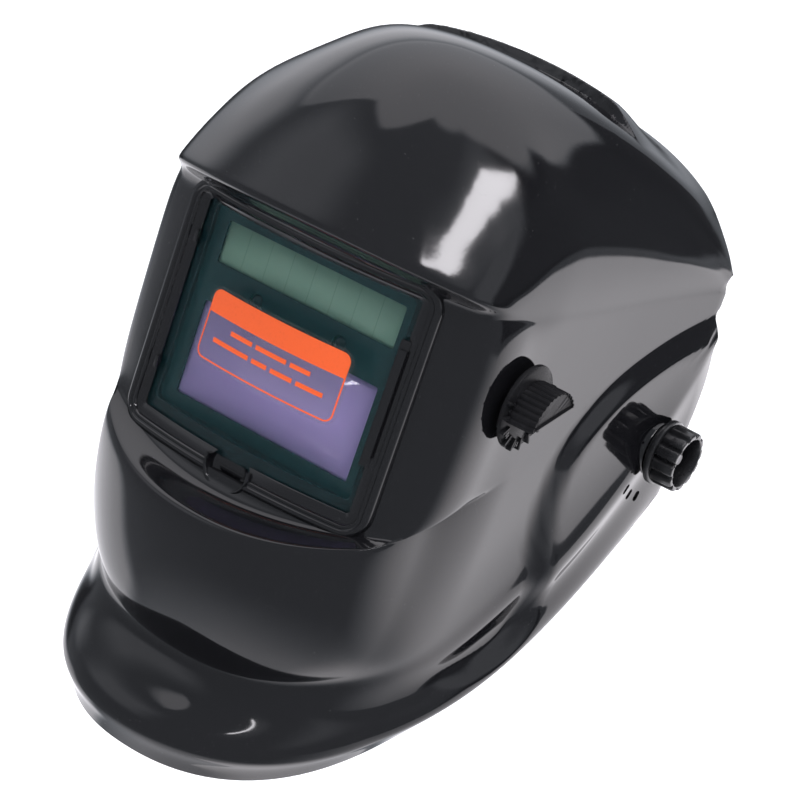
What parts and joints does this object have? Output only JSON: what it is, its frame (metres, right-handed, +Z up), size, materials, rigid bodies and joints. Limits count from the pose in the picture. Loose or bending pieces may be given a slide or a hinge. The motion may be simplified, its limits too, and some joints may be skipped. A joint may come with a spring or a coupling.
{
  "type": "welding helmet",
  "caption": "Auto-darkening welding helmet: tilting gloss shell with filter cartridge and shade dial on a ratchet headgear.",
  "frame": {"origin": "midway between the two tilt pivots, inside the wearer's head", "axes": "+X to the wearer's left, -Y the way the wearer looks, +Z up as worn"},
  "size_m": [0.2528, 0.2892, 0.318],
  "materials": {
    "headband_front": "satin black",
    "sweatband": "terry over foam",
    "crown_strap_left": "satin black",
    "crown_strap_right": "satin black",
    "crown_strap_peg": "satin black",
    "headgear_arm_left": "satin black",
    "headgear_arm_right": "satin black",
    "pivot_bolt_left": "zinc plated",
    "pivot_bolt_right": "zinc plated",
    "friction_washer_left": "black",
    "friction_washer_right": "black",
    "spacer_washer_left": "black",
    "outer_washer_left": "satin black",
    "outer_washer_right": "satin black",
    "shell": "gloss black injection moulding",
    "front_cover_lens": "clear polycarbonate",
    "film_label": "printed film",
    "cartridge_front_housing": "dark teal moulding",
    "cartridge_rear_housing": "black moulding",
    "solar_cell": "grey-green cell strip",
    "lcd_shutter": "violet-tinted filter stack",
    "arc_sensor_left": "dark photodiode",
    "arc_sensor_right": "dark photodiode",
    "circuit_board": "green board",
    "coin_cell_left": "steel can",
    "coin_cell_right": "steel can",
    "inner_cover_lens": "clear polycarbonate",
    "filter_retaining_frame": "black",
    "shade_potentiometer": "plated can",
    "potentiometer_nut": "plated",
    "shade_cable": "PVC sleeve",
    "angle_stop_right": "satin black",
    "shade_knob": "satin black",
    "sensitivity_dial": "satin black",
    "delay_dial": "satin black",
    "tension_knob_left": "satin black",
    "tension_nut_left": "zinc plated",
    "tension_knob_right": "satin black",
    "tension_nut_right": "zinc plated",
    "ratchet_housing_front": "satin black",
    "ratchet_housing_back": "satin black",
    "nape_pad": "fabric over foam",
    "ratchet_knob": "satin black",
    "ratchet_pinion": "natural nylon",
    "rear_strap_left": "satin black",
    "rear_strap_right": "satin black"
  },
  "bodies": {
    "headgear": {"headband_front": "headband_front", "sweatband": "sweatband", "crown_strap_left": "crown_strap_left", "crown_strap_right": "crown_strap_right", "crown_strap_peg": "crown_strap_peg", "headgear_arm_left": "headgear_arm_left", "headgear_arm_right": "headgear_arm_right", "pivot_bolt_left": "pivot_bolt_left", "pivot_bolt_right": "pivot_bolt_right", "friction_washer_left": "friction_washer_left", "friction_washer_right": "friction_washer_right", "spacer_washer_left": "spacer_washer_left", "outer_washer_left": "outer_washer_left", "outer_washer_right": "outer_washer_right"},
    "shell_unit": {"shell": "shell", "front_cover_lens": "front_cover_lens", "film_label": "film_label", "cartridge_front_housing": "cartridge_front_housing", "cartridge_rear_housing": "cartridge_rear_housing", "solar_cell": "solar_cell", "lcd_shutter": "lcd_shutter", "arc_sensor_left": "arc_sensor_left", "arc_sensor_right": "arc_sensor_right", "circuit_board": "circuit_board", "coin_cell_left": "coin_cell_left", "coin_cell_right": "coin_cell_right", "inner_cover_lens": "inner_cover_lens", "filter_retaining_frame": "filter_retaining_frame", "shade_potentiometer": "shade_potentiometer", "potentiometer_nut": "potentiometer_nut", "shade_cable": "shade_cable", "angle_stop_right": "angle_stop_right"},
    "shade_control": {"shade_knob": "shade_knob"},
    "sensitivity_control": {"sensitivity_dial": "sensitivity_dial"},
    "delay_control": {"delay_dial": "delay_dial"},
    "left_knob": {"tension_knob_left": "tension_knob_left", "tension_nut_left": "tension_nut_left"},
    "right_knob": {"tension_knob_right": "tension_knob_right", "tension_nut_right": "tension_nut_right"},
    "rear_unit": {"ratchet_housing_front": "ratchet_housing_front", "ratchet_housing_back": "ratchet_housing_back", "nape_pad": "nape_pad"},
    "ratchet": {"ratchet_knob": "ratchet_knob", "ratchet_pinion": "ratchet_pinion"},
    "left_strap": {"rear_strap_left": "rear_strap_left"},
    "right_strap": {"rear_strap_right": "rear_strap_right"}
  },
  "joints": [
    {"name": "shell_tilt", "type": "hinge", "parent": "headgear", "child": "shell_unit", "pos_m": [0, 0, 0], "axis": [-1, 0, 0], "range_deg": [0, 75]},
    {"name": "tension_knob_left_turn", "type": "hinge", "parent": "headgear", "child": "left_knob", "pos_m": [0.119, 0, 0], "axis": [1, 0, 0], "range_deg": [0, 360]},
    {"name": "tension_knob_right_turn", "type": "hinge", "parent": "headgear", "child": "right_knob", "pos_m": [-0.119, 0, 0], "axis": [-1, 0, 0], "range_deg": [0, 360]},
    {"name": "shade_turn", "type": "hinge", "parent": "shell_unit", "child": "shade_control", "pos_m": [0.1, -0.109, 0.0206], "axis": [1, 0, 0], "range_deg": [-135, 135]},
    {"name": "sensitivity_turn", "type": "hinge", "parent": "shell_unit", "child": "sensitivity_control", "pos_m": [0.028, -0.13, 0.04], "axis": [0, 1, 0], "range_deg": [-135, 135]},
    {"name": "delay_turn", "type": "hinge", "parent": "shell_unit", "child": "delay_control", "pos_m": [-0.028, -0.13, 0.04], "axis": [0, 1, 0], "range_deg": [-135, 135]},
    {"name": "rear_slide", "type": "slide", "parent": "headgear", "child": "rear_unit", "axis": [0, 0.9397, -0.342], "range_m": [-0.02, 0.02]},
    {"name": "ratchet_turn", "type": "hinge", "parent": "rear_unit", "child": "ratchet", "pos_m": [0, 0.09481, -0.03541], "axis": [0, 0.9397, -0.342], "range_deg": [-190, 190]},
    {"name": "left_strap_wrap", "type": "hinge", "parent": "rear_unit", "child": "left_strap", "pos_m": [0, 0.014, -0.006], "axis": [0, 0.342, 0.9397], "range_deg": [-14, 14]},
    {"name": "right_strap_wrap", "type": "hinge", "parent": "rear_unit", "child": "right_strap", "pos_m": [0, 0.014, -0.006], "axis": [0, 0.342, 0.9397], "range_deg": [-14, 14]}
  ],
  "couplings": [
    {"joint": "rear_slide", "follows": "ratchet_turn", "m_per_rad": 0.006},
    {"joint": "left_strap_wrap", "follows": "ratchet_turn", "ratio": -0.073171},
    {"joint": "right_strap_wrap", "follows": "ratchet_turn", "ratio": 0.073171}
  ]
}
